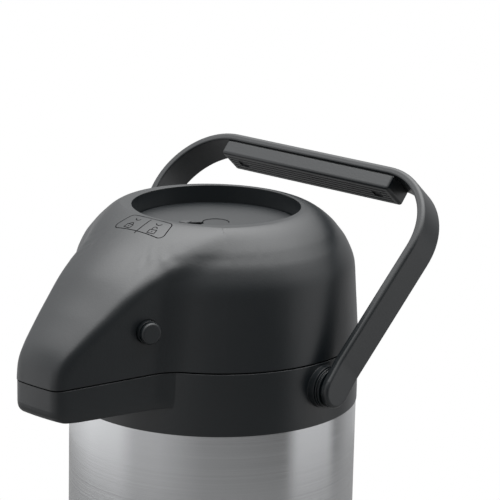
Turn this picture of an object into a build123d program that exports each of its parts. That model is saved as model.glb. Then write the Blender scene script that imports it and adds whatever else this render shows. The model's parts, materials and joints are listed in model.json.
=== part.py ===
from build123d import *
import math
import os

# Airpot: an insulated steel flask under a moulded head with a pump pad and a hinged lid.
# Millimetres. The origin is on the body's axis at the plane that it stands on.
# The spout points to -Y, the lid's hinge is at +Y and the handle's pivots are at +X and -X.

os.makedirs("parts", exist_ok=True)

# Steel body and base
body_radius = 79.6
shell_wall = 0.8
shell_height = 204.0
liner_wall = 0.8
liner_floor = 12.0
liner_corner = 11.6
vacuum_width = 10.1
neck_radius = 42.0
neck_gap = 0.15
base_height = 18.0
base_proud = 0.4
base_wall = 1.4
base_floor = 2.5
base_bevel = 6.0
base_lip = 6.0
foot_height = 2.0
foot_inset = 8.0
foot_hole = 4.5
bottom_plate = 1.0
base_screw_circle = 50.0
base_screw_count = 3

# Head: heights are above the collar's lower edge
head_proud = 0.4
collar_height = 34.3
collar_wall = 2.6
seam_gap = 0.8
shell_step = 2.6
step_height = 8.0
cone_height = 11.0
neck_length = 7.2
deck_wall = 2.5
deck_hole_width = 4.0

# Dome of the lid
lid_wall = 2.6
lid_inset = 0.2
shoulder_inset = 2.9
shoulder_height = 74.0
rim_width = 1.1
rim_height = 106.8
dome_power = 1.63
dome_slices = 11
wall_slices = 10
level_margin = 6.0

# Spout: half width and taper of its side walls, and its reach from the body's axis
spout_root_inset = 10.5
spout_root_half = 35.9
spout_taper = 0.305
spout_narrowing = 3.0
spout_length = 56.0
spout_thickness = 19.6
spout_nose_down = 1.8
spout_floor_down = 0.5
spout_edge_round = 7.0
lip_setback = 0.4
spout_flush = 1.2
spout_block_half = 52.0
spout_block_back = 30.0
edge_slices = 6
under_side_share = 0.15
blend_reach = 0.3
lip_round = 7.0
root_round = 9.0
front_span = 50.0
front_samples = 100
front_pieces = 56

# Side profile of the spout's top: how far down (0 rim, 1 seam) and how far out (0 rim, 1 lip).
# The crown is its middle line, and the ridge is the soft edge above each side wall.
crown_line = (
    (0.0, 0.0), (0.08, 0.19), (0.28, 0.485), (0.45, 0.651),
    (0.60, 0.794), (0.79, 0.948), (0.90, 0.988), (1.0, 1.0),
)
ridge_line = (
    (0.0, -0.18), (0.16, 0.13), (0.37, 0.486), (0.52, 0.651),
    (0.66, 0.794), (0.84, 0.948), (0.92, 0.98), (1.0, 0.989),
)

# Well, pump pad and lock lever
well_radius = 46.2
well_wall = 2.6
rim_round = 0.5
slide_gap = 0.3
pad_drop = 9.8
pad_thickness = 7.0
pad_skirt = 14.0
pad_wall = 2.5
pad_round = 1.0
slot_radius = 36.0
slot_inner = 7.4
slot_half_angle = 38.0
slot_depth = 4.7
lever_radius = 34.0
lever_hub = 7.0
lever_width = 7.0
lever_angle = 7.2
tab_radius = 31.0
tab_length = 5.0
tab_width = 5.0
tab_height = 6.0

# Lid plate, seals and bellows
plate_wall = 2.5
plate_gap = 2.0
flange_edge = 1.0
flange_wall = 2.5
lid_screw_gap = 0.2
lid_screw_count = 4
seal_inset = 6.0
seal_height = 3.7
seal_width = 4.0
seal_gap = 0.3
bellows_gap = 8.2
bellows_fold = 6.0
bellows_folds = 6
bellows_wall = 1.4
clamp_width = 2.6
clamp_height = 3.0
spring_radius = 15.0
spring_wire = 2.0
valve_radius = 9.0
valve_wall = 1.5
intake_radius = 6.0
intake_hole = 1.2
intake_circle = 22.5
intake_angle = -20.0

# Pour head, tube and outlet
gasket_wall = 1.5
gasket_width = 2.7
head_flange_width = 1.0
head_flange_height = 12.0
head_plug_height = 8.5
plug_gap = 0.35
tube_radius = 4.0
tube_wall = 0.5
tube_clearance = 6.0
gland_wall = 2.0
gland_length = 14.0
gland_bite = 0.05
air_hole_radius = 3.0
air_hole_circle = 24.0
pipe_radius = 5.5
pipe_bore = 4.0
pipe_bend = 10.0
pipe_socket = 12.0
pipe_end = 7.0
nozzle_setback = 18.2
nozzle_wall = 1.4
nozzle_drop = 2.0
nozzle_gap = 0.8
nozzle_collar = 2.0
nozzle_collar_wall = 1.6
nozzle_height = 6.0
neck_ring_width = 9.7
neck_ring_height = 3.5
neck_ring_drop = 0.2

# Hinge of the lid
hinge_setback = 4.5
hinge_barrel = 4.2
hinge_pin_radius = 1.6
hinge_pin_gap = 0.05
hinge_mid_length = 28.0
hinge_side_length = 13.6
hinge_gap = 0.4
hinge_web = 6.3

# Release buttons on the spout's sides
release_forward = 4.7
release_rise = 24.0
release_radius = 6.2
release_cap_radius = 5.9
release_proud = 5.6
release_ring = 2.3
release_groove = 0.7
release_groove_depth = 0.8
release_round = 1.3
release_travel = 3.0
release_stem = 8.0
release_flange = 8.3
release_flange_gap = 1.0
release_flange_wall = 1.6
release_hole_gap = 0.3
release_hook_wall = 2.0
release_hook_width = 8.0
release_hook_reach = 30.0
catch_gap = 0.5
catch_height = 3.0
catch_half = 3.0
release_spring_radius = 4.3
release_spring_wire = 1.0
carrier_half = 7.0
carrier_depth = 10.0
carrier_height = 22.0
post_radius = 3.0
post_gap = 1.0
carrier_foot = 12.0

# Handle: s is the distance from the pivot along the arms
pivot_drop = 1.6
handle_lean = 41.4
arm_width = 20.0
arm_wall = 4.8
arm_splay = 5.2
splay_start = 12.0
bail_height = 130.8
bail_corner = 41.0
bail_wall = 4.6
arm_round = 2.0
arm_inner_round = 1.0
grip_length = 124.0
grip_thickness = 9.2
grip_inset = 0.7
grip_round = 1.6
rib_count = 5
rib_pitch = 2.6
rib_width = 1.0
rib_depth = 0.6
grip_screw_offset = 50.0
boss_radius = 11.5
boss_proud = 3.2
boss_depth = 4.8
disc_gap = 0.3
disc_wall = 2.7
disc_radius = 10.8
disc_groove = 0.8
disc_groove_width = 1.0
pin_radius = 4.0
pin_gap = 0.05
pin_in_arm = 2.4
pin_tail = 3.2
pocket_radius = 9.0
pocket_depth = 12.0
clip_wall = 0.9
clip_radius = 7.0
clip_groove = 1.0

# Screws
screw_radius = 1.75
screw_head = 3.5
screw_head_height = 1.5
screw_boss = 4.0
screw_boss_height = 11.0
screw_gap = 0.05

# Small amounts: how far a cut runs past a face, and how near counts as the same place
past = 1.0
near = 0.01

# Worked-out radii
base_radius = body_radius + base_proud
foot_radius = base_radius - foot_inset
liner_radius = body_radius - vacuum_width
collar_radius = body_radius + head_proud
lid_foot_radius = collar_radius - lid_inset
shoulder_radius = lid_foot_radius - shoulder_inset
rim_radius = well_radius + rim_width
deck_hole = neck_radius + deck_hole_width
plate_radius = lid_foot_radius - lid_wall - plate_gap
lid_screw_circle = well_radius + well_wall + screw_boss + lid_screw_gap
flange_radius = lid_screw_circle + screw_boss + flange_edge
head_flange_radius = neck_radius + head_flange_width
seal_radius = head_flange_radius - seal_inset
bellows_radius = well_radius - bellows_gap
gland_radius = tube_radius + gland_wall
liner_neck = neck_radius - shell_wall - neck_gap
liner_bore = liner_neck - liner_wall

# Worked-out distances forward of the axis or out to the side
spout_root = collar_radius - spout_root_inset
spout_reach = collar_radius + spout_length
release_reach = collar_radius + release_forward
hinge_y = collar_radius + hinge_setback
boss_face = collar_radius + boss_proud
boss_back = collar_radius - boss_depth
arm_face = boss_face + 2 * disc_gap + disc_wall
arm_outer = arm_face + arm_wall
side_slope = math.hypot(1.0, spout_taper)

# Worked-out heights above the table
base_floor_z = foot_height + base_floor
bottom_z = base_height + base_lip
liner_floor_z = base_height + liner_floor
liner_wall_low = liner_floor_z + liner_corner
collar_base = base_height + shell_height
liner_wall_high = collar_base - shell_wall - liner_wall / 2
seam_z = collar_base + collar_height
hinge_z = seam_z + seam_gap / 2
release_height = collar_height + release_rise
pivot_z = seam_z - pivot_drop - boss_radius
neck_top = collar_base + step_height + cone_height + neck_length
deck_top = neck_top - neck_ring_drop - neck_ring_height
lip_top = neck_top + liner_wall
gasket_top = lip_top + gasket_wall
head_top = gasket_top + head_flange_height
pipe_z = (gasket_top + head_top) / 2
plug_z = gasket_top - head_plug_height
plate_z = head_top + seal_gap + seal_height
plate_top = plate_z + plate_wall
flange_top = plate_top + flange_wall
rim_z = collar_base + rim_height
pad_top = rim_z - pad_drop
pad_bottom = pad_top - pad_thickness

# Worked-out places on the upright handle, above its pivots
grip_top = bail_height - bail_wall
grip_low = grip_top - grip_thickness


def ring(outer, inner, low, high):
    """A plain tube about the body's axis."""
    tube = Cylinder(outer, high - low, align=(Align.CENTER, Align.CENTER, Align.MIN))
    tube -= Cylinder(inner, high - low, align=(Align.CENTER, Align.CENTER, Align.MIN))
    return Pos(0, 0, low) * tube


def disc(radius, low, high, x=0.0, y=0.0):
    """A solid round post standing from low to high."""
    post = Cylinder(radius, high - low, align=(Align.CENTER, Align.CENTER, Align.MIN))
    return Pos(x, y, low) * post


def turned(points):
    """A solid of revolution about the body's axis, from (radius, height) corners."""
    with BuildPart() as made:
        with BuildSketch(Plane.XZ):
            with BuildLine():
                Polyline(*points, close=True)
            make_face()
        revolve(axis=Axis.Z)
    return made.part


def block(low, high):
    """A box between two corners."""
    size = [b - a for a, b in zip(low, high)]
    return Pos(*low) * Box(*size, align=(Align.MIN, Align.MIN, Align.MIN))


def rod(radius, start, stop, y, z):
    """A round bar along X."""
    bar = Cylinder(radius, stop - start, align=(Align.CENTER, Align.CENTER, Align.MIN))
    return Pos(start, y, z) * Rot(Y=90) * bar


def mirrored(shape):
    """The same piece on the other side of the body."""
    return mirror(shape, about=Plane.YZ)


def around(count, radius, phase=0.0):
    """Evenly spaced (x, y) places on a circle."""
    steps = [math.radians(phase + 360.0 * i / count) for i in range(count)]
    return [(radius * math.cos(a), radius * math.sin(a)) for a in steps]


def eased(stations, at):
    """Smooth reading between stations, which never overshoots them."""
    if at <= stations[0][0]:
        return stations[0][1]
    if at >= stations[-1][0]:
        return stations[-1][1]
    slopes = [(b[1] - a[1]) / (b[0] - a[0]) for a, b in zip(stations, stations[1:])]
    bends = [slopes[0]]
    for before, after in zip(slopes, slopes[1:]):
        bends.append(2 * before * after / (before + after) if before * after > 0 else 0.0)
    bends.append(slopes[-1])
    for i, (a, b) in enumerate(zip(stations, stations[1:])):
        if at <= b[0]:
            span = b[0] - a[0]
            t = (at - a[0]) / span
            low = (1 + 2 * t) * (1 - t) ** 2 * a[1] + t * (1 - t) ** 2 * span * bends[i]
            return low + t * t * (3 - 2 * t) * b[1] + t * t * (t - 1) * span * bends[i + 1]


def soft_min(a, b, width):
    """The lesser of two lengths, rounded where they cross."""
    near = max(width - abs(a - b), 0.0) / width
    return min(a, b) - near * near * width / 4


def soft_max(a, b, width):
    """The greater of two lengths, rounded where they cross."""
    near = max(width - abs(a - b), 0.0) / width
    return max(a, b) + near * near * width / 4


def dome_radius(height):
    """Radius of the dome at a height above the collar's lower edge."""
    if height <= shoulder_height:
        share = max(height - collar_height, 0.0) / (shoulder_height - collar_height)
        return lid_foot_radius + (shoulder_radius - lid_foot_radius) * share
    up = min((height - shoulder_height) / (rim_height - shoulder_height), 1.0)
    return rim_radius + (shoulder_radius - rim_radius) * (1 - up**dome_power) ** (1 / dome_power)


def side_half(reach, height, inset=0.0):
    """Half width of the spout at a distance forward of the axis."""
    half = spout_root_half + (spout_root - reach) * spout_taper - inset * side_slope
    up = max(height - collar_height, 0.0) / (rim_height - collar_height)
    return half - spout_narrowing * up**3


def head_distance(angle, height, inset, round_part, shrink):
    """Distance from the axis to the head's outline, at an angle from the front."""
    down = (rim_height - height) / (rim_height - collar_height)
    back = inset + shrink
    crown = rim_radius + (spout_reach - rim_radius) * eased(crown_line, down) - back
    ridge = rim_radius + (spout_reach - rim_radius) * eased(ridge_line, down) - back
    sine = abs(math.sin(angle))
    cosine = math.cos(angle)
    if cosine <= blend_reach:
        return round_part
    thin = inset + shrink * under_side_share
    side = side_half(0.0, height, thin) / (sine + spout_taper * cosine)
    bow = (crown - ridge) / side_half(ridge, height, thin) ** 2
    if sine < near:
        front = crown / cosine
    else:
        root = math.sqrt(cosine * cosine + 4 * bow * sine * sine * crown)
        front = (root - cosine) / (2 * bow * sine * sine)
    return soft_max(round_part, soft_min(side, front, lip_round), root_round)


def front_spread():
    """Angles from the front, evenly spaced along the head's outline at the seam."""
    share = front_span / front_samples
    angles = [math.radians(share * i) for i in range(-front_samples, front_samples + 1)]
    far = [head_distance(a, collar_height, 0.0, lid_foot_radius, 0.0) for a in angles]
    places = [(d * math.sin(a), d * math.cos(a)) for d, a in zip(far, angles)]
    run = [0.0]
    for before, after in zip(places, places[1:]):
        run.append(run[-1] + math.dist(before, after))
    stations = list(zip(run, angles))
    return [eased(stations, run[-1] * i / front_pieces) for i in range(front_pieces + 1)]


front_angles = front_spread()


def head_outline(level, height, inset, round_part, shrink=0.0):
    """One closed level of the head: a round back and a spline around the spout."""
    points = []
    for angle in front_angles:
        far = head_distance(angle, height, inset, round_part, shrink)
        points.append((far * math.sin(angle), -far * math.cos(angle), level))
    last = front_angles[-1]
    leave = (math.cos(last), math.sin(last), 0)
    arrive = (math.cos(last), -math.sin(last), 0)
    steps = [i / front_pieces for i in range(front_pieces + 1)]
    front = Edge.make_spline(
        [Vector(*p) for p in points], tangents=[Vector(*arrive), Vector(*leave)], parameters=steps
    )
    ends = (Vector(*points[-1]), Vector(*points[0]))
    back = Edge.make_three_point_arc(ends[0], Vector(0, round_part, level), ends[1])
    return Face(Wire([front, back]))


def lid_levels():
    """Heights of the lid's levels, closer together towards the rim."""
    wall = [collar_height - level_margin, collar_height - level_margin / 2]
    for i in range(wall_slices):
        wall.append(collar_height + (shoulder_height - collar_height) * i / wall_slices)
    arc = []
    for i in range(dome_slices):
        turn = math.radians(90.0 * i / (dome_slices - 1))
        up = math.sin(turn) ** (2 / dome_power)
        arc.append(shoulder_height + (rim_height - shoulder_height) * up)
    return wall + arc


def lid_form(inset):
    """The lid's outer form, or with an inset the hollow inside it."""
    faces = []
    for height in lid_levels():
        round_part = dome_radius(height) - inset
        level = collar_base + height - inset
        faces.append(head_outline(level, height, inset, round_part))
    return loft(faces)


def seam_side(level, above):
    """A block above or below the seam, which dips along the spout."""
    far = 2 * spout_reach
    dip = (far - spout_root) * math.tan(math.radians(spout_nose_down))
    edge = level + far if above else level - far
    corners = [(-far, level - dip), (-spout_root, level), (far, level), (far, edge), (-far, edge)]
    with BuildPart() as made:
        with BuildSketch(Plane.YZ):
            with BuildLine():
                Polyline(*corners, close=True)
            make_face()
        extrude(amount=far, both=True)
    return made.part


def floor_down(shape):
    """Tilt a piece of the spout's underside about the spout's root."""
    return Pos(0, -spout_root, seam_z) * Rot(X=spout_floor_down) * Pos(0, spout_root, -seam_z) * shape


def under_form(inset, edge):
    """The lower half of the spout, or with an inset the trough inside it."""
    low = seam_z - spout_thickness + inset
    round_part = collar_radius - spout_flush - inset
    faces = []
    for i in range(edge_slices + 1):
        turn = math.radians(90.0 * i / edge_slices)
        up = edge * (1 - math.cos(turn))
        back = edge * (1 - math.sin(turn))
        faces.append(head_outline(low + up, collar_height, inset, round_part, back + lip_setback))
    faces.append(head_outline(seam_z + level_margin, collar_height, inset, round_part, lip_setback))
    half = spout_block_half - inset
    front = block((-half, -2 * spout_reach, 0), (half, -spout_block_back, 2 * seam_z))
    return floor_down(loft(faces, ruled=True)) & front


def screw(x, y, head_low, tip):
    """A screw that points up, with its head at the bottom."""
    head = disc(screw_head, head_low, head_low + screw_head_height, x, y)
    return head + disc(screw_radius, head_low, tip, x, y)


def hinge_rod(radius, start, stop):
    """A round bar on the lid hinge's axis."""
    return rod(radius, start, stop, hinge_y, hinge_z)


def release_place():
    """Where the right release button goes through the spout's wall, facing outwards."""
    half = side_half(release_reach, release_height)
    outward = (1, -spout_taper, 0)
    along = (spout_taper, 1, 0)
    return Plane(origin=(half, -release_reach, collar_base + release_height), x_dir=along, z_dir=outward)


def release_bar(radius, start, stop):
    """A round bar on the right release button's axis, from start to stop along it."""
    bar = Cylinder(radius, stop - start, align=(Align.CENTER, Align.CENTER, Align.MIN))
    return release_place() * Pos(0, 0, start) * bar


def release_block(low, high):
    """A box in the right release button's own directions."""
    return release_place() * block(low, high)


def foot_pad():
    """Non-slip pad that the body stands on, with a hole below each screw."""
    pad = disc(foot_radius, 0, foot_height)
    for x, y in base_places():
        pad -= disc(foot_hole, 0, foot_height, x, y)
    return pad


def base_places():
    return around(base_screw_count, base_screw_circle, 90.0)


def base_cap():
    """Moulded cup under the body, with a lip inside the steel wall and three screw bosses."""
    lip = body_radius - shell_wall - neck_gap
    cap = turned(
        [
            (0, foot_height),
            (base_radius - base_bevel, foot_height),
            (base_radius, foot_height + base_bevel),
            (base_radius, base_height),
            (lip, base_height),
            (lip, bottom_z),
            (lip - base_wall, bottom_z),
            (lip - base_wall, base_floor_z + base_bevel),
            (lip - base_wall - base_bevel, base_floor_z),
            (0, base_floor_z),
        ]
    )
    for x, y in base_places():
        cap += disc(screw_boss, foot_height, bottom_z, x, y)
        cap -= disc(screw_radius + screw_gap, 0, bottom_z + past, x, y)
        cap -= disc(screw_head + screw_gap, 0, foot_height + screw_head_height, x, y)
    return cap


def base_screws():
    low = foot_height
    tip = bottom_z + bottom_plate + screw_boss
    return [screw(x, y, low, tip) for x, y in base_places()]


def shell_bottom():
    """Steel plate welded inside the wall's lower end, with three threaded studs."""
    plate = disc(body_radius - shell_wall - neck_gap, bottom_z, bottom_z + bottom_plate)
    for x, y in base_places():
        plate += disc(screw_boss, bottom_z, bottom_z + bottom_plate + screw_boss, x, y)
        plate -= disc(screw_radius + screw_gap, 0, 2 * bottom_z, x, y)
    return plate


def outer_shell():
    """Brushed steel wall, stepped in under the collar and drawn in to the neck."""
    inner = body_radius - shell_wall
    step = body_radius - shell_step
    cone = collar_base + step_height
    neck = cone + cone_height
    return turned(
        [
            (body_radius, base_height),
            (body_radius, collar_base),
            (step, collar_base),
            (step, cone),
            (neck_radius, neck),
            (neck_radius, neck_top),
            (neck_radius - shell_wall, neck_top),
            (neck_radius - shell_wall, neck - shell_wall),
            (step - shell_wall, cone - shell_wall),
            (step - shell_wall, collar_base - shell_wall),
            (inner, collar_base - shell_wall),
            (inner, base_height),
        ]
    )


def liner_wall_tube():
    """Straight wall of the steel flask inside the vacuum."""
    return ring(liner_radius, liner_radius - liner_wall, liner_wall_low, liner_wall_high)


def liner_base():
    """Pressed bottom of the flask, welded under its wall."""
    flat = liner_radius - liner_corner
    corner = liner_wall / 2
    return turned(
        [
            (0, liner_floor_z),
            (flat, liner_floor_z),
            (liner_radius, liner_wall_low - corner),
            (liner_radius, liner_wall_low),
            (liner_radius - liner_wall, liner_wall_low),
            (flat - corner, liner_floor_z + liner_wall),
            (0, liner_floor_z + liner_wall),
        ]
    )


def liner_shoulder():
    """Shoulder and neck of the flask, hung from its lip on the outer shell's neck."""
    corner = liner_wall / 2
    neck_low = liner_wall_high + cone_height + shell_step
    return turned(
        [
            (liner_radius, liner_wall_high),
            (liner_radius, liner_wall_high + corner),
            (liner_neck, neck_low + corner),
            (liner_neck, neck_top),
            (neck_radius, neck_top),
            (neck_radius, lip_top),
            (liner_bore, lip_top),
            (liner_bore, neck_low),
            (liner_radius - liner_wall, liner_wall_high),
        ]
    )


def nozzle_hole():
    """The round hole for the nozzle in the spout's underside."""
    radius = pipe_radius + nozzle_gap + nozzle_wall
    return disc(radius + screw_gap, collar_base, seam_z, 0, nozzle_setback - spout_reach)


def collar():
    """Ring round the steel body's top, with the lower half of the spout and the handle's bosses."""
    inside = collar_radius - collar_wall
    body = disc(collar_radius, collar_base, seam_z + level_margin)
    body += under_form(0.0, spout_edge_round)
    body -= under_form(collar_wall, spout_edge_round - collar_wall)
    body -= disc(inside, 0, 2 * seam_z)
    body &= seam_side(seam_z, False)
    body -= floor_down(nozzle_hole())
    deck = ring(inside + collar_wall / 2, deck_hole, deck_top - deck_wall, deck_top)
    for side in (-1, 1):
        start, stop = sorted((side * (inside - pocket_depth), side * inside))
        deck -= rod(pocket_radius, start, stop, 0, pivot_z)
    body += deck
    for side in (-1, 1):
        start, stop = sorted((side * boss_back, side * boss_face))
        body += rod(boss_radius, start, stop, 0, pivot_z)
        body -= rod(pin_radius + pin_gap, start - past, stop + past, 0, pivot_z)
    stem = release_stem - catch_gap - release_hook_wall
    low = -release_hook_reach
    catch = release_block((-catch_half, low, -stem), (catch_half, low + catch_height, 0))
    body += catch + mirrored(catch)
    return hinge_side(body)


def hinge_side(body):
    """Add the collar's two hinge knuckles and clear room for the lid's."""
    half = hinge_mid_length / 2
    body -= hinge_rod(hinge_barrel + hinge_gap, -half - hinge_gap, half + hinge_gap)
    for start in (half + hinge_gap, -half - hinge_gap - hinge_side_length):
        stop = start + hinge_side_length
        body += hinge_rod(hinge_barrel, start, stop)
        low = (start, collar_radius - 2 * collar_wall, seam_z - hinge_web)
        body += block(low, (stop, hinge_y, seam_z))
    body -= disc(collar_radius - collar_wall, deck_top, 2 * seam_z)
    body -= hinge_rod(hinge_pin_radius + hinge_pin_gap, -collar_radius, collar_radius)
    return body


def hinge_pin():
    half = hinge_mid_length / 2 + hinge_gap + hinge_side_length
    return hinge_rod(hinge_pin_radius, -half, half)


def neck_ring():
    outer = neck_radius + neck_ring_width
    return ring(outer, neck_radius + neck_gap, deck_top, deck_top + neck_ring_height)


def neck_gasket():
    return ring(head_flange_radius, head_flange_radius - gasket_width, lip_top, gasket_top)


def along_y(radius, start, stop, z):
    """A round bar forward of the axis, from start to stop millimetres out."""
    bar = Cylinder(radius, stop - start, align=(Align.CENTER, Align.CENTER, Align.MIN))
    return Pos(0, -start, z) * Rot(X=90) * bar


def pour_head():
    """Plug in the neck, with the way from the dip tube to the pipe and four air holes."""
    head = disc(head_flange_radius, gasket_top, head_top)
    head += disc(liner_bore - plug_gap, plug_z, gasket_top)
    head -= disc(gland_radius + gland_bite, plug_z - past, plug_z + gland_length)
    head -= disc(pipe_bore, plug_z, pipe_z)
    side = head_flange_radius + past
    head -= along_y(pipe_bore, 0, side, pipe_z)
    head -= along_y(pipe_radius + gland_bite, head_flange_radius - pipe_socket, side, pipe_z)
    for x, y in around(4, air_hole_circle, 45.0):
        head -= disc(air_hole_radius, plug_z - past, head_top + past, x, y)
    return head


def tube_gland():
    return ring(gland_radius, tube_radius + gland_bite, plug_z, plug_z + gland_length)


def dip_tube():
    low = liner_floor_z + liner_wall + tube_clearance
    return ring(tube_radius, tube_radius - tube_wall, low, plug_z + gland_length)


def outlet_pipe():
    """Pipe from the pour head along the spout, bent down into the nozzle."""
    start = head_flange_radius - pipe_socket
    reach = spout_reach - nozzle_setback
    end = seam_z - spout_thickness + pipe_end
    with BuildPart() as made:
        with BuildLine() as path:
            corners = [(0, -start, pipe_z), (0, -reach, pipe_z), (0, -reach, end)]
            FilletPolyline(*corners, radius=pipe_bend)
        with BuildSketch(Plane(origin=(0, -start, pipe_z), z_dir=(0, -1, 0))):
            Circle(pipe_radius)
            Circle(pipe_bore, mode=Mode.SUBTRACT)
        sweep(path=path.wires()[0])
    return made.part


def outlet_nozzle():
    """Mouthpiece through the spout's underside, with a collar that rests on its floor."""
    reach = spout_reach - nozzle_setback
    inner = pipe_radius + nozzle_gap
    low = seam_z - spout_thickness
    floor = low + collar_wall
    piece = ring(inner + nozzle_wall, inner, low - nozzle_drop, floor + nozzle_height)
    piece += ring(inner + nozzle_wall + nozzle_collar, inner, floor, floor + nozzle_collar_wall)
    return floor_down(Pos(0, -reach, 0) * piece)


def lid_places():
    return around(lid_screw_count, lid_screw_circle, 45.0)


def lid_shell():
    """Domed lid with the upper half of the spout, the pad's well and the middle hinge knuckle."""
    shell = lid_form(0.0) - lid_form(lid_wall)
    shell &= seam_side(seam_z + seam_gap, True)
    shell += ring(well_radius + well_wall, well_radius - rim_round, plate_top, rim_z - lid_wall / 2)
    shell += ring(flange_radius, well_radius, plate_top, flange_top)
    for x, y in lid_places():
        shell += disc(screw_boss, plate_top, plate_top + screw_boss_height, x, y)
    shell -= disc(well_radius, plate_top - past, rim_z + past)
    for x, y in lid_places():
        shell -= disc(screw_radius + screw_gap, plate_top - past, flange_top + screw_boss, x, y)
    half = hinge_mid_length / 2
    shell += hinge_rod(hinge_barrel, -half, half)
    low = (-half, lid_foot_radius - lid_wall / 2, seam_z + seam_gap)
    shell += block(low, (half, hinge_y, seam_z + hinge_web))
    shell -= hinge_rod(hinge_pin_radius + hinge_pin_gap, -half - past, half + past)
    hole = release_bar(release_radius + release_hole_gap, -release_flange, release_proud)
    shell -= hole + mirrored(hole)
    lip = [e for e in shell.edges().filter_by(GeomType.CIRCLE) if abs(e.center().Z - rim_z) < near]
    inner = [e for e in lip if abs(e.radius - well_radius) < near]
    return fillet(inner, rim_round)


def lid_plate():
    """Plate that closes the lid from below, with air holes and the valve's hole."""
    plate = disc(plate_radius, plate_z, plate_top)
    for x, y in lid_places() + [carrier_screw()]:
        plate -= disc(screw_radius + screw_gap, 0, 2 * plate_top, x, y)
    for x, y in around(4, air_hole_circle, 45.0):
        plate -= disc(air_hole_radius, 0, 2 * plate_top, x, y)
    plate -= disc(valve_wall + screw_gap, 0, 2 * plate_top)
    return plate


def carrier_screw():
    return (0, -(plate_radius - carrier_foot / 2))


def lid_screws():
    low = plate_z - screw_head_height
    made = [screw(x, y, low, flange_top + screw_boss) for x, y in lid_places()]
    x, y = carrier_screw()
    return made + [screw(x, y, low, flange_top)]


def lid_seal():
    return ring(seal_radius, seal_radius - seal_width, head_top + seal_gap, plate_z)


def air_valve():
    """One-way rubber valve under the plate, held by its stem."""
    valve = disc(valve_radius, plate_z - valve_wall, plate_z)
    valve += disc(valve_wall, plate_z, plate_top + valve_wall)
    return valve + disc(2 * valve_wall, plate_top, plate_top + valve_wall)


def pump_bellows():
    """Rubber bellows between the lid plate and the pad, closed by neither."""
    top = pad_bottom - slide_gap
    step = (top - plate_top) / (2 * bellows_folds)
    outside = []
    for i in range(2 * bellows_folds + 1):
        radius = bellows_radius if i % 2 == 0 else bellows_radius - bellows_fold
        outside.append((radius, plate_top + i * step))
    inside = [(r - bellows_wall, z) for r, z in reversed(outside)]
    return turned(outside + inside)


def bellows_clamp():
    outer = bellows_radius + slide_gap + clamp_width
    return ring(outer, bellows_radius + slide_gap, plate_top, plate_top + clamp_height)


def pump_spring():
    return ring(spring_radius, spring_radius - spring_wire, plate_top, pad_bottom)


def pad_slot():
    """Recess for the lever: a round seat at the middle and a sector towards the front."""
    floor = pad_top - slot_depth
    side = math.radians(slot_half_angle)
    far = 2 * slot_radius
    with BuildPart() as wedge:
        with BuildSketch(Plane.XY.offset(floor)):
            with BuildLine():
                right = (far * math.sin(side), -far * math.cos(side))
                left = (-far * math.sin(side), -far * math.cos(side))
                Polyline((0, 0), right, left, close=True)
            make_face()
        extrude(amount=2 * slot_depth)
    sector = wedge.part & disc(slot_radius, floor, pad_top + slot_depth)
    return sector + disc(slot_inner, floor, pad_top + slot_depth)


def push_button():
    """Round pump pad with a skirt that slides in the well."""
    radius = well_radius - slide_gap
    pad = disc(radius, pad_bottom, pad_top)
    pad = fillet(pad.edges().group_by(Axis.Z)[-1], pad_round)
    pad += ring(radius, radius - pad_wall, pad_bottom - pad_skirt, pad_bottom)
    pad -= pad_slot()
    pad -= disc(screw_radius + pin_gap, pad_bottom - past, pad_top)
    x, y = intake_place()
    return pad - disc(intake_hole, pad_bottom - past, pad_top, x, y)


def intake_place():
    turn = math.radians(intake_angle)
    return (intake_circle * math.sin(turn), -intake_circle * math.cos(turn))


def intake_valve():
    """Rubber flap under the pad, which lets air into the bellows through a small hole."""
    x, y = intake_place()
    return disc(intake_radius, pad_bottom - valve_wall, pad_bottom, x, y)


def lock_lever():
    """Lever in the pad's recess, with a finger tab that stands above the pad."""
    floor = pad_top - slot_depth + slide_gap
    top = pad_top - slide_gap
    half = lever_width / 2
    lever = disc(lever_hub, floor, top)
    arm = block((-half, -lever_radius, floor), (half, 0, top))
    arm = fillet(arm.edges().filter_by(Axis.Z).group_by(Axis.Y)[0], half - rim_round)
    lever += arm
    high = (tab_width / 2, tab_length - tab_radius, pad_top + tab_height)
    tab = block((-tab_width / 2, -tab_radius, floor), high)
    lever += fillet(tab.edges().group_by(Axis.Z)[-1], pad_round)
    lever += disc(screw_radius, pad_bottom, floor)
    return Rot(Z=lever_angle) * lever


def release_right():
    """Two-step side button with a retaining flange and a hook arm into the collar."""
    button = release_bar(release_radius, -release_stem, release_ring)
    button += release_bar(release_cap_radius - release_groove_depth, 0, release_proud - release_groove)
    cap_start = release_ring + release_groove
    cap = release_bar(release_cap_radius, cap_start, release_proud)
    outer = cap.edges().filter_by(GeomType.CIRCLE).sort_by(Axis.X)[-1]
    button += fillet(outer, release_round)
    flange = -lid_wall - release_flange_gap
    button += release_bar(release_flange, flange - release_flange_wall, flange)
    half = release_hook_width / 2
    back = -release_stem
    button += release_block((-half, -release_hook_reach, back), (half, 0, back + release_hook_wall))
    return button


def release_spring():
    start = -(release_stem + carrier_reach())
    return release_bar(release_spring_radius, start, -release_stem) - release_bar(
        release_spring_radius - release_spring_wire, start, -release_stem
    )


def carrier_reach():
    """Free length between the button's back and the carrier's side face."""
    half = side_half(release_reach, release_height)
    return (half - carrier_half) * side_slope - release_stem - release_spring_radius * spout_taper


def release_carrier():
    """Bracket between the release buttons, with a post for each spring."""
    low = (-carrier_half, -release_reach - carrier_depth / 2, plate_top)
    high = (carrier_half, -release_reach + carrier_depth / 2, plate_top + carrier_height)
    body = block(low, high)
    start = -(release_stem + carrier_reach() + carrier_half)
    stop = -(release_stem + release_travel + post_gap)
    post = release_bar(post_radius, start, stop)
    body += post + mirrored(post)
    foot_end = (carrier_half, carrier_foot - plate_radius, flange_top)
    foot = block((-carrier_half, -release_reach, plate_top), foot_end)
    x, y = carrier_screw()
    return body + foot - disc(screw_radius + screw_gap, 0, 2 * plate_top, x, y)


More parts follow.
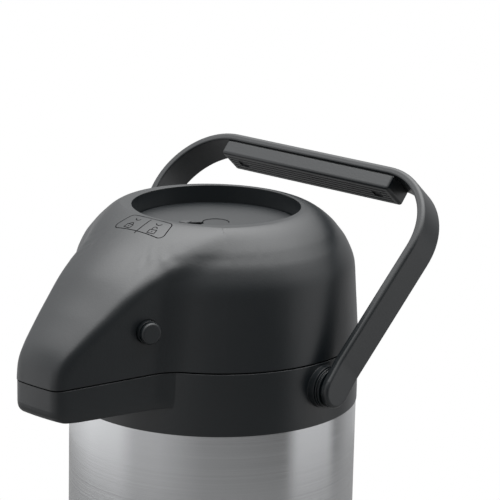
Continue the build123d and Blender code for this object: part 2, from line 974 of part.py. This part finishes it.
def leaned(shape):
    """Put a piece of the handle, made upright about the pivot, where it rests."""
    return Pos(0, 0, pivot_z) * Rot(X=-handle_lean) * shape


def bail_form(side, top, corner, half_depth):
    """The space inside a bail outline, half_depth to each side of its plane."""
    foot = -arm_width
    wide = side + (top - splay_start) * math.tan(math.radians(arm_splay))
    right = [(side, foot), (side, splay_start), (wide, top)]
    left = [(-x, z) for x, z in reversed(right)]
    with BuildPart() as made:
        with BuildSketch(Plane.XZ):
            with BuildLine():
                FilletPolyline(*right, *left, radius=corner)
                Line(left[-1], right[0])
            make_face()
        extrude(amount=half_depth, both=True)
    return made.part


def handle_upright():
    """The bail standing straight up, before its holes."""
    half = arm_width / 2
    bail = bail_form(arm_outer, bail_height, bail_corner, half)
    bail -= bail_form(arm_face, grip_top, bail_corner - bail_wall, arm_width)
    far = 2 * arm_outer
    bail &= block((-far, -half, 0), (far, half, far)) + rod(half, -far, far, 0, 0)
    middle = bail_form(arm_face + arm_wall / 2, bail_height - bail_wall / 2, bail_corner, arm_width)
    rims = [e for e in bail.edges() if abs((e @ 0.5).Y) > half - near or (e @ 0.5).Z < -near]
    outside = [e for e in rims if not middle.solid().is_inside(e @ 0.5)]
    bail = fillet(outside, arm_round)
    rims = [e for e in bail.edges() if abs((e @ 0.5).Y) > half - near or (e @ 0.5).Z < -near]
    inside = [e for e in rims if middle.solid().is_inside(e @ 0.5)]
    return fillet(inside, arm_inner_round)


def grip_screw_places():
    return (-grip_screw_offset, grip_screw_offset)


def handle_bail():
    """Swinging U-shaped handle: two flat arms and a top bar."""
    bail = handle_upright()
    for side in (-1, 1):
        start, stop = sorted((side * (arm_face - past), side * (arm_face + pin_in_arm)))
        bail -= rod(pin_radius + pin_gap, start, stop, 0, 0)
    for x in grip_screw_places():
        bail -= disc(screw_radius + screw_gap, grip_low, grip_top + bail_wall / 2, x)
    return leaned(bail)


def handle_grip():
    """Ribbed pad under the top bar, with a groove where the two meet."""
    half = grip_length / 2
    wide = arm_width / 2 - grip_inset
    pad = block((-half, -wide, grip_low), (half, wide, 2 * grip_top))
    pad = fillet(pad.edges().group_by(Axis.Z)[0] + pad.edges().filter_by(Axis.Z), grip_round)
    corner = bail_corner - bail_wall
    gap = rib_width
    neck = pad & bail_form(arm_face, grip_top, corner, wide - rib_width)
    pad = pad & bail_form(arm_face - gap, grip_top - gap, corner - gap, arm_width)
    pad += neck
    for i in range(rib_count):
        y = (i - (rib_count - 1) / 2) * rib_pitch - rib_width / 2
        length = half - 2 * grip_round
        pad -= block((-length, y, grip_low - past), (length, y + rib_width, grip_low + rib_depth))
    for x in grip_screw_places():
        pad -= disc(screw_radius + screw_gap, 0, 2 * grip_top, x)
        pad -= disc(screw_head + screw_gap, 0, grip_low + rib_depth + screw_head_height, x)
    return leaned(pad)


def grip_screws():
    low = grip_low + rib_depth
    return [leaned(screw(x, 0, low, grip_top + bail_wall / 2)) for x in grip_screw_places()]


def handle_pin():
    """Pivot pin of the right arm, with a groove for its clip."""
    start = boss_back - pin_tail
    pin = rod(pin_radius, start, arm_face + pin_in_arm, 0, pivot_z)
    high = boss_back - disc_gap
    groove = rod(pin_radius + past, high - clip_wall, high, 0, pivot_z)
    groove -= rod(pin_radius - clip_groove, high - clip_wall, high, 0, pivot_z)
    return pin - groove


def pin_clip():
    high = boss_back - disc_gap
    clip = rod(clip_radius, high - clip_wall, high, 0, pivot_z)
    return clip - rod(pin_radius - clip_groove + pin_gap, high - clip_wall, high, 0, pivot_z)


def pivot_disc():
    """Grooved friction disc between the right arm and the collar's boss."""
    start = boss_face + disc_gap
    stop = arm_face - disc_gap
    middle = (start + stop) / 2
    piece = rod(disc_radius, start, stop, 0, pivot_z)
    half = disc_groove_width / 2
    band = rod(disc_radius + past, middle - half, middle + half, 0, pivot_z)
    band -= rod(disc_radius - disc_groove, middle - half, middle + half, 0, pivot_z)
    return piece - band - rod(pin_radius + pin_gap, start, stop, 0, pivot_z)


def nodes():
    """Every node's name with its solid, or its list of separate solids."""
    button = release_right()
    spring = release_spring()
    pin = handle_pin()
    clip = pin_clip()
    grooved = pivot_disc()
    return {
        "foot_pad": foot_pad(),
        "base_cap": base_cap(),
        "base_screws": base_screws(),
        "shell_bottom": shell_bottom(),
        "outer_shell": outer_shell(),
        "liner_wall": liner_wall_tube(),
        "liner_base": liner_base(),
        "liner_shoulder": liner_shoulder(),
        "collar": collar(),
        "hinge_pin": hinge_pin(),
        "neck_ring": neck_ring(),
        "neck_gasket": neck_gasket(),
        "pour_head": pour_head(),
        "tube_gland": tube_gland(),
        "dip_tube": dip_tube(),
        "outlet_pipe": outlet_pipe(),
        "outlet_nozzle": outlet_nozzle(),
        "lid_shell": lid_shell(),
        "lid_plate": lid_plate(),
        "lid_screws": lid_screws(),
        "lid_seal": lid_seal(),
        "air_valve": air_valve(),
        "pump_bellows": pump_bellows(),
        "bellows_clamp": bellows_clamp(),
        "pump_spring": pump_spring(),
        "push_button": push_button(),
        "intake_valve": intake_valve(),
        "lock_lever": lock_lever(),
        "release_button_right": button,
        "release_button_left": mirrored(button),
        "release_spring_right": spring,
        "release_spring_left": mirrored(spring),
        "release_carrier": release_carrier(),
        "handle_bail": handle_bail(),
        "handle_grip": handle_grip(),
        "grip_screws": grip_screws(),
        "handle_pin_right": pin,
        "handle_pin_left": mirrored(pin),
        "pin_clip_right": clip,
        "pin_clip_left": mirrored(clip),
        "pivot_disc_right": grooved,
        "pivot_disc_left": mirrored(grooved),
    }


for name, shape in nodes().items():
    solids = shape if isinstance(shape, list) else [shape]
    export_step(Compound(children=solids), f"parts/{name}.step")
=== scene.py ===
import json
import math

import bpy
from mathutils import Matrix, Vector
from mathutils.bvhtree import BVHTree


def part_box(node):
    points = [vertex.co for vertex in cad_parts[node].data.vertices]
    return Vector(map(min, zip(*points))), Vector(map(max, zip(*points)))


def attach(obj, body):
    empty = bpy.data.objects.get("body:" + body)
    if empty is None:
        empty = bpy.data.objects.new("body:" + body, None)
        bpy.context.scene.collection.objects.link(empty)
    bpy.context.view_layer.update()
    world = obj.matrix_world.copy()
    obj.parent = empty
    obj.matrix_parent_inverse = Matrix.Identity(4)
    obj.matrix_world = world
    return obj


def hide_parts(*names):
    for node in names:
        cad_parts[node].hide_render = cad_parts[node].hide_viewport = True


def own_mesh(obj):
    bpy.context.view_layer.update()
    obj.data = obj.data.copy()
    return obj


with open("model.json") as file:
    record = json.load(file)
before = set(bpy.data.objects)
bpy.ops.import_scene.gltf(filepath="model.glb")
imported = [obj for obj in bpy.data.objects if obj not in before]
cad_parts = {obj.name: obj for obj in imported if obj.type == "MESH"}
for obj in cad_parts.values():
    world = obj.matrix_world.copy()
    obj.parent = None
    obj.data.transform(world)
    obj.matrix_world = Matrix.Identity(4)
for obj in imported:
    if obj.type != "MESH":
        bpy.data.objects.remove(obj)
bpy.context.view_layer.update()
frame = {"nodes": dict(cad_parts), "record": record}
nodes = frame["nodes"]

# The photograph's camera: its place about the body's axis, and its turn away from that axis
PHOTO_PIXELS = 500
CAMERA_AZIMUTH = math.radians(42.7)
CAMERA_DISTANCE = 1.384
CAMERA_HEIGHT = 0.6656
CAMERA_PAN = math.radians(-0.786)
CAMERA_TILT = math.radians(14.666)
CAMERA_ROLL = math.radians(1.304)
FOCAL_PIXELS = 2609
SENSOR_MM = 36.0

# The height of the lid's rim, from the frame
RIM_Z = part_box("lid_shell")[1].z


# ---------------------------------------------------------------- materials


class Shader:
    """A material with one Principled shader, and short calls to add nodes to it."""

    def __init__(self, name, color, roughness, metallic=0.0):
        self.material = bpy.data.materials.new(name)
        self.material.use_nodes = True
        self.tree = self.material.node_tree
        self.surface = self.tree.nodes["Principled BSDF"]
        self.set(**{"Base Color": (*color, 1.0), "Roughness": roughness, "Metallic": metallic})
        self.material.diffuse_color = (*color, 1.0)

    def set(self, **sockets):
        for name, value in sockets.items():
            self.surface.inputs[name].default_value = value

    def node(self, kind, **settings):
        made = self.tree.nodes.new(kind)
        for name, value in settings.items():
            if name in made.inputs:
                made.inputs[name].default_value = value
            else:
                setattr(made, name, value)
        return made

    def link(self, source, target):
        self.tree.links.new(source, target)

    def place(self, scale=(1.0, 1.0, 1.0)):
        """The object's own coordinates, stretched by a scale."""
        where = self.node("ShaderNodeTexCoord")
        mapping = self.node("ShaderNodeMapping", Scale=scale)
        self.link(where.outputs["Object"], mapping.inputs["Vector"])
        return mapping.outputs["Vector"]

    def noise(self, scale, detail=2.0, stretch=(1.0, 1.0, 1.0)):
        made = self.node("ShaderNodeTexNoise", Scale=scale, Detail=detail)
        self.link(self.place(stretch), made.inputs["Vector"])
        return made.outputs["Fac"]

    def spread(self, source, low, high, start=0.3, stop=0.7):
        """A number between low and high, as the source goes from start to stop."""
        made = self.node("ShaderNodeMapRange")
        made.inputs["From Min"].default_value = start
        made.inputs["From Max"].default_value = stop
        made.inputs["To Min"].default_value = low
        made.inputs["To Max"].default_value = high
        self.link(source, made.inputs["Value"])
        return made.outputs["Result"]

    def tint(self, source, dark, light):
        """A colour between dark and light, as the source goes from 0 to 1."""
        made = self.node("ShaderNodeValToRGB")
        made.color_ramp.elements[0].color = (*dark, 1.0)
        made.color_ramp.elements[1].color = (*light, 1.0)
        self.link(source, made.inputs["Fac"])
        self.link(made.outputs["Color"], self.surface.inputs["Base Color"])

    def bump(self, source, strength, distance, rounding=0.0):
        """Relief from a source, over edges softened by a small radius."""
        made = self.node("ShaderNodeBump", Strength=strength, Distance=distance)
        self.link(source, made.inputs["Height"])
        if rounding:
            soft = self.node("ShaderNodeBevel", samples=4)
            soft.inputs["Radius"].default_value = rounding
            self.link(soft.outputs["Normal"], made.inputs["Normal"])
        self.link(made.outputs["Normal"], self.surface.inputs["Normal"])


PLASTIC_SPECULAR = 0.8
PLASTIC_GRAIN_SCALE = 1000.0
PLASTIC_GRAIN_DEPTH = 0.00012
PLASTIC_GLOSS_SCALE = 18.0
PLASTIC_ROUNDING = 0.0005
METAL_RELIEF = 0.00005


def moulded(name, color, roughness, grain=0.30):
    """Moulded plastic with a fine spark-eroded grain and slow changes in its gloss."""
    made = Shader(name, color, roughness)
    made.set(**{"Specular IOR Level": PLASTIC_SPECULAR})
    fine = made.noise(PLASTIC_GRAIN_SCALE, detail=3.0)
    slow = made.noise(PLASTIC_GLOSS_SCALE, detail=2.0)
    gloss = made.spread(slow, roughness - 0.03, roughness + 0.04)
    made.link(gloss, made.surface.inputs["Roughness"])
    lighter = tuple(c * 1.18 for c in color)
    darker = tuple(c * 0.85 for c in color)
    made.tint(fine, darker, lighter)
    made.bump(fine, grain, PLASTIC_GRAIN_DEPTH, PLASTIC_ROUNDING)
    return made.material


# Brushed lines are long around the body and about a third of a millimetre high
STREAK_STRETCH = (7.0, 7.0, 3000.0)
STREAK_RELIEF = 0.02


def brushed(name, color, roughness, pull):
    """Steel brushed around the body, whose highlights run up and down it."""
    made = Shader(name, color, roughness, 1.0)
    lines = made.noise(1.0, detail=4.0, stretch=STREAK_STRETCH)
    gloss = made.spread(lines, roughness - 0.04, roughness + 0.05)
    made.link(gloss, made.surface.inputs["Roughness"])
    lighter = tuple(min(c * 1.10, 1.0) for c in color)
    darker = tuple(c * 0.88 for c in color)
    made.tint(lines, darker, lighter)
    made.bump(lines, STREAK_RELIEF, METAL_RELIEF)
    made.set(**{"Anisotropic": pull, "Anisotropic Rotation": 0.25})
    tangent = made.node("ShaderNodeTangent", direction_type="RADIAL", axis="Z")
    made.link(tangent.outputs["Tangent"], made.surface.inputs["Tangent"])
    return made.material


def soft_rubber(name, color, roughness):
    """Rubber or silicone with a dusty, uneven surface."""
    made = Shader(name, color, roughness)
    cloud = made.noise(120.0, detail=4.0)
    made.tint(cloud, tuple(c * 0.8 for c in color), tuple(min(c * 1.15, 1.0) for c in color))
    made.bump(cloud, 0.1, 0.0002, 0.0003)
    return made.material


def plated(name, color, roughness):
    """Plain plated steel for screws, pins and clips."""
    made = Shader(name, color, roughness, 1.0)
    cloud = made.noise(300.0, detail=3.0)
    gloss = made.spread(cloud, roughness - 0.05, roughness + 0.08)
    made.link(gloss, made.surface.inputs["Roughness"])
    made.bump(cloud, 0.05, METAL_RELIEF)
    return made.material


BLACK = (0.0020, 0.0048, 0.0066)
STEEL = (0.705, 0.715, 0.725)

looks = {
    "black_plastic": moulded("black_plastic_look", BLACK, 0.34),
    "handle_plastic": moulded("handle_plastic_look", BLACK, 0.34),
    "pad_plastic": moulded("pad_plastic_look", BLACK, 0.45),
    "lever_plastic": moulded("lever_plastic_look", BLACK, 0.40, grain=0.05),
    "button_plastic": moulded("button_plastic_look", BLACK, 0.36, grain=0.05),
    "inner_plastic": moulded("inner_plastic_look", (0.03, 0.032, 0.034), 0.5, grain=0.05),
    "body_steel": brushed("body_steel_look", STEEL, 0.20, pull=0.5),
    "inner_steel": brushed("inner_steel_look", (0.56, 0.56, 0.55), 0.3, pull=0.4),
    "black_screw": plated("black_screw_look", (0.03, 0.032, 0.035), 0.4),
    "screw_steel": plated("screw_steel_look", (0.55, 0.55, 0.54), 0.28),
    "silicone": soft_rubber("silicone_look", (0.62, 0.61, 0.58), 0.45),
    "bellows_rubber": soft_rubber("bellows_rubber_look", (0.03, 0.03, 0.03), 0.6),
    "foot_rubber": soft_rubber("foot_rubber_look", (0.022, 0.022, 0.022), 0.75),
}


def dress_nodes():
    """Give every CAD node the look of its material slot."""
    for row in frame["record"]["subparts"]:
        piece = nodes[row["node"]]
        for place in piece.material_slots:
            place.material = looks[row["material_slot"]]


# ---------------------------------------------------------------- springs and bellows


def slot_of(name):
    """The material slot that the record gives a CAD node."""
    return next(row["material_slot"] for row in frame["record"]["subparts"] if row["node"] == name)


def make_pressed(name):
    """A copy of a spring or bellows, carried by the lid's body in place of its CAD node."""
    source = nodes[name]
    piece = bpy.data.objects.new(name + "_pressed", source.data.copy())
    bpy.context.collection.objects.link(piece)
    piece.matrix_world = source.matrix_world.copy()
    piece.data.materials.clear()
    piece.data.materials.append(looks[slot_of(name)])
    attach(piece, "lid")
    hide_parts(name)
    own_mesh(piece)


def make_all_pressed():
    """The pump's spring and bellows, and the springs of the side buttons."""
    make_pressed("pump_bellows")
    make_pressed("pump_spring")
    for side in ("right", "left"):
        make_pressed(f"release_spring_{side}")


# ---------------------------------------------------------------- label


LABEL_INNER = 0.0505
LABEL_OUTER = 0.0635
LABEL_HALF = math.radians(16.6)
LABEL_CORNER = 0.0030
LINE_WIDTH = 0.00062
LINE_LIFT = 0.00006
LINE_STEP = 0.0006
# A small arc and a padlock in each cell, in metres from the label's inner edge
ARC_OUT = 0.0014
ARC_RADIUS = 0.0022
LOCK_OUT = 0.0078
LOCK_HALF = 0.0021
LOCK_HEIGHT = 0.0029
LOOP_RADIUS = 0.0013
LOOP_RISE_SHUT = 0.0003
LOOP_RISE_OPEN = 0.0012


def surface_of(name):
    """A node's mesh, ready to drop points onto."""
    mesh = nodes[name].data
    corners = [v.co for v in mesh.vertices]
    faces = [tuple(p.vertices) for p in mesh.polygons]
    return BVHTree.FromPolygons(corners, faces)


lid_surface = surface_of("lid_shell")


def dropped(x, y):
    """The place on the lid's top below a point, and the way that the surface faces there."""
    place, normal, _, _ = lid_surface.ray_cast(Vector((x, y, RIM_Z + 0.05)), Vector((0, 0, -1)))
    return place, normal


def on_label(across, out):
    """Label coordinates to plan: across is an arc length at the label's middle, out is the radius."""
    turn = across / ((LABEL_INNER + LABEL_OUTER) / 2)
    return out * math.sin(turn), -out * math.cos(turn)


def resampled(points, closed):
    """Evenly spaced points along a plan line."""
    if closed:
        points = points + [points[0]]
    made = [points[0]]
    for a, b in zip(points, points[1:]):
        length = math.dist(a, b)
        steps = max(1, round(length / LINE_STEP))
        for i in range(1, steps + 1):
            t = i / steps
            made.append((a[0] + (b[0] - a[0]) * t, a[1] + (b[1] - a[1]) * t))
    return made[:-1] if closed else made


def ribbon(points, closed, width, vertices, faces):
    """Add a narrow strip that follows the lid along a plan line."""
    line = resampled(points, closed)
    count = len(line)
    start = len(vertices)
    for i, here in enumerate(line):
        before = line[i - 1] if closed or i else here
        after = line[(i + 1) % count] if closed or i + 1 < count else here
        place, normal = dropped(*here)
        way = Vector((after[0] - before[0], after[1] - before[1], 0)).normalized()
        side = way.cross(normal).normalized()
        for offset, lift in ((-0.5, 0.2), (-0.3, 1.0), (0.3, 1.0), (0.5, 0.2)):
            vertices.append(place + side * offset * width + normal * LINE_LIFT * lift)
    last = count if closed else count - 1
    for i in range(last):
        a = start + 4 * i
        b = start + 4 * ((i + 1) % count)
        for k in range(3):
            faces.append((a + k, a + k + 1, b + k + 1, b + k))


def arc(centre, radius, start, stop, count=12):
    """Plan points of an arc in label coordinates."""
    turns = [math.radians(start + (stop - start) * i / count) for i in range(count + 1)]
    return [(centre[0] + radius * math.cos(t), centre[1] + radius * math.sin(t)) for t in turns]


def label_frame():
    """The label's rounded outline in label coordinates."""
    half = LABEL_HALF * (LABEL_INNER + LABEL_OUTER) / 2
    low, high, r = LABEL_INNER, LABEL_OUTER, LABEL_CORNER
    return (
        arc((half - r, high - r), r, 0, 90)
        + arc((-half + r, high - r), r, 90, 180)
        + arc((-half + r, low + r), r, 180, 270)
        + arc((half - r, low + r), r, 270, 360)
    )


def padlock(centre, opened):
    """Lines of a small padlock in label coordinates, with its shackle shut or swung up."""
    x, y = centre
    left, right, out = x - LOCK_HALF, x + LOCK_HALF, y + LOCK_HEIGHT
    body = [(left, y), (right, y), (right, out), (left, out), (left, y)]
    turn = y - (LOOP_RISE_OPEN if opened else LOOP_RISE_SHUT)
    shackle = [(x - LOOP_RADIUS, y), (x - LOOP_RADIUS, turn)]
    shackle += [(a, 2 * turn - b) for a, b in arc((x, turn), LOOP_RADIUS, 180, 0)]
    if not opened:
        shackle += [(x + LOOP_RADIUS, y)]
    keyhole = [(x, y + LOCK_HEIGHT * 0.35), (x, y + LOCK_HEIGHT * 0.65)]
    return [body, shackle, keyhole]


def make_label():
    """Thin dark lines on the lid, painted shade for engraved grooves: a two-cell frame with a shut
    and an open padlock.
    """
    vertices, faces = [], []
    ribbon([on_label(*p) for p in label_frame()], True, LINE_WIDTH, vertices, faces)
    ribbon([on_label(0, LABEL_INNER), on_label(0, LABEL_OUTER)], False, LINE_WIDTH, vertices, faces)
    cell = LABEL_HALF * (LABEL_INNER + LABEL_OUTER) / 4
    for side, opened in ((-1, False), (1, True)):
        middle = side * cell
        bow = arc((middle, LABEL_INNER + ARC_OUT), ARC_RADIUS, 25, 155)
        ribbon([on_label(*p) for p in bow], False, LINE_WIDTH, vertices, faces)
        for line in padlock((middle, LABEL_INNER + LOCK_OUT), opened):
            ribbon([on_label(*p) for p in line], False, LINE_WIDTH * 0.9, vertices, faces)
    mesh = bpy.data.meshes.new("label_lines")
    mesh.from_pydata(vertices, [], faces)
    mesh.update()
    label = bpy.data.objects.new("label_lines", mesh)
    bpy.context.collection.objects.link(label)
    # The lines' near-black, low-shine colour is painted shade, standing in for the shade inside
    # engraved grooves.
    groove_shade = Shader("label_groove_shade", (0.003, 0.003, 0.004), 0.9)
    groove_shade.set(**{"Specular IOR Level": 0.1})
    groove_shade.tint(groove_shade.noise(900.0), (0.002, 0.002, 0.003), (0.004, 0.004, 0.005))
    mesh.materials.append(groove_shade.material)
    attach(label, "lid")


# ---------------------------------------------------------------- studio


# The camera sees the floor as nearly white, and as all white beyond the clear radius
FLOOR_RADIUS = 0.62
FLOOR_NEAR = 0.1
FLOOR_CLEAR = 0.42
FLOOR_WHITE_NEAR = 0.7
FLOOR_DROP = 0.0004
FLOOR_COLOR = (0.14, 0.14, 0.14)


def make_floor():
    """A round pale floor that reads white to the camera and keeps a soft shadow."""
    bpy.ops.mesh.primitive_circle_add(vertices=128, radius=FLOOR_RADIUS, fill_type="NGON")
    floor = bpy.context.object
    floor.name = "floor"
    floor.location.z = -FLOOR_DROP
    made = Shader("floor_look", FLOOR_COLOR, 0.9)
    tree = made.tree
    output = tree.nodes["Material Output"]
    glow = made.node("ShaderNodeEmission", Color=(1.0, 1.0, 1.0, 1.0), Strength=1.0)
    path = made.node("ShaderNodeLightPath")
    out = made.node("ShaderNodeVectorMath", operation="LENGTH")
    made.link(made.place(), out.inputs[0])
    share = made.node("ShaderNodeMath", operation="MULTIPLY")
    white = made.spread(out.outputs["Value"], FLOOR_WHITE_NEAR, 1.0, FLOOR_NEAR, FLOOR_CLEAR)
    made.link(white, share.inputs[1])
    made.link(path.outputs["Is Camera Ray"], share.inputs[0])
    mix = made.node("ShaderNodeMixShader")
    made.link(share.outputs[0], mix.inputs["Fac"])
    made.link(made.surface.outputs["BSDF"], mix.inputs[1])
    made.link(glow.outputs["Emission"], mix.inputs[2])
    made.link(mix.outputs["Shader"], output.inputs["Surface"])
    floor.data.materials.append(made.material)


# The studio around the object: azimuth in degrees (0 is in front of the spout, 90 at +X) and level
STUDIO_RING = (
    (-180, 0.42), (-118, 0.56), (-70, 1.00), (-36, 0.92), (-21, 0.57), (0, 0.54),
    (36, 0.26), (104, 0.14), (114, 0.72), (149, 0.66), (158, 0.20), (180, 0.42),
)
# The ceiling's light grows towards its middle, which lies a little behind the object
CEILING_WAY = (0.02, 0.24, 0.97)
CEILING_LEVEL = 5.2
CEILING_POWER = 4.0


def maths(tree, operation, *values):
    """The result of a maths node, whose inputs are numbers or the outputs of other nodes."""
    made = tree.nodes.new("ShaderNodeMath")
    made.operation = operation
    for socket, value in zip(made.inputs, values):
        if isinstance(value, bpy.types.NodeSocket):
            tree.links.new(value, socket)
        else:
            socket.default_value = value
    return made.outputs[0]


def ring_level(tree, way):
    """The colour of the studio's walls in a direction."""
    split = tree.nodes.new("ShaderNodeSeparateXYZ")
    tree.links.new(way, split.inputs[0])
    front = maths(tree, "MULTIPLY", split.outputs["Y"], -1.0)
    turn = maths(tree, "ARCTAN2", split.outputs["X"], front)
    share = maths(tree, "MULTIPLY_ADD", turn, 0.5 / math.pi, 0.5)
    walls = tree.nodes.new("ShaderNodeValToRGB")
    elements = walls.color_ramp.elements
    while len(elements) < len(STUDIO_RING):
        elements.new(0.5)
    for element, (azimuth, _) in zip(elements, STUDIO_RING):
        element.position = (azimuth + 180) / 360
    for element, (_, level) in zip(elements, STUDIO_RING):
        element.color = (level, level, level * 1.01, 1.0)
    tree.links.new(share, walls.inputs["Fac"])
    return walls.outputs["Color"]


def ceiling_level(tree, way):
    """The strength of the ceiling's light in a direction."""
    upward = tree.nodes.new("ShaderNodeVectorMath")
    upward.operation = "DOT_PRODUCT"
    upward.inputs[1].default_value = CEILING_WAY
    tree.links.new(way, upward.inputs[0])
    above = maths(tree, "MAXIMUM", upward.outputs["Value"], 0.0)
    return maths(tree, "MULTIPLY", maths(tree, "POWER", above, CEILING_POWER), CEILING_LEVEL)


def make_world():
    """Soft studio surroundings, white to the camera, with darker and lighter walls."""
    world = bpy.data.worlds.new("studio")
    bpy.context.scene.world = world
    world.use_nodes = True
    tree = world.node_tree
    tree.nodes.clear()
    way = tree.nodes.new("ShaderNodeTexCoord").outputs["Generated"]
    walls = tree.nodes.new("ShaderNodeBackground")
    tree.links.new(ring_level(tree, way), walls.inputs["Color"])
    ceiling = tree.nodes.new("ShaderNodeBackground")
    tree.links.new(ceiling_level(tree, way), ceiling.inputs["Strength"])
    both = tree.nodes.new("ShaderNodeAddShader")
    tree.links.new(walls.outputs[0], both.inputs[0])
    tree.links.new(ceiling.outputs[0], both.inputs[1])
    white = tree.nodes.new("ShaderNodeBackground")
    white.inputs["Color"].default_value = (1.0, 1.0, 1.0, 1.0)
    path = tree.nodes.new("ShaderNodeLightPath")
    mix = tree.nodes.new("ShaderNodeMixShader")
    tree.links.new(path.outputs["Is Camera Ray"], mix.inputs["Fac"])
    tree.links.new(both.outputs[0], mix.inputs[1])
    tree.links.new(white.outputs[0], mix.inputs[2])
    output = tree.nodes.new("ShaderNodeOutputWorld")
    tree.links.new(mix.outputs[0], output.inputs["Surface"])


HEAD = Vector((0.0, -0.02, 0.29))
KEY_PLACE = Vector((-0.55, 0.10, 1.45))
KEY_SIZE = 0.9
KEY_POWER = 2.0


def make_key_light():
    """A weak square soft light above the head, which it faces."""
    light = bpy.data.lights.new("key", "AREA")
    light.shape = "RECTANGLE"
    light.size = light.size_y = KEY_SIZE
    light.energy = KEY_POWER
    lamp = bpy.data.objects.new("key", light)
    lamp.location = KEY_PLACE
    lamp.rotation_euler = (HEAD - KEY_PLACE).to_track_quat("-Z", "Y").to_euler()
    bpy.context.collection.objects.link(lamp)


def make_camera():
    """The camera at the photograph's place, from the fitted turn of its axes."""
    azimuth, bearing = CAMERA_AZIMUTH, CAMERA_AZIMUTH + CAMERA_PAN
    place = Vector((
        CAMERA_DISTANCE * math.sin(azimuth), -CAMERA_DISTANCE * math.cos(azimuth), CAMERA_HEIGHT
    ))
    forward = Vector((
        -math.sin(bearing) * math.cos(CAMERA_TILT),
        math.cos(bearing) * math.cos(CAMERA_TILT),
        -math.sin(CAMERA_TILT),
    ))
    level = Vector((math.cos(bearing), math.sin(bearing), 0.0))
    lifted = level.cross(forward)
    right = level * math.cos(CAMERA_ROLL) + lifted * math.sin(CAMERA_ROLL)
    up = -level * math.sin(CAMERA_ROLL) + lifted * math.cos(CAMERA_ROLL)
    data = bpy.data.cameras.new("camera")
    data.sensor_width = SENSOR_MM
    data.lens = FOCAL_PIXELS / PHOTO_PIXELS * SENSOR_MM
    data.clip_start, data.clip_end = 0.05, 50.0
    camera = bpy.data.objects.new("camera", data)
    axes = Matrix((right, up, -forward)).transposed()
    camera.matrix_world = Matrix.Translation(place) @ axes.to_4x4()
    bpy.context.collection.objects.link(camera)
    bpy.context.scene.camera = camera


make_camera()
dress_nodes()
make_all_pressed()
make_label()
make_floor()
make_world()
make_key_light()
bpy.context.scene.view_settings.view_transform = "Standard"
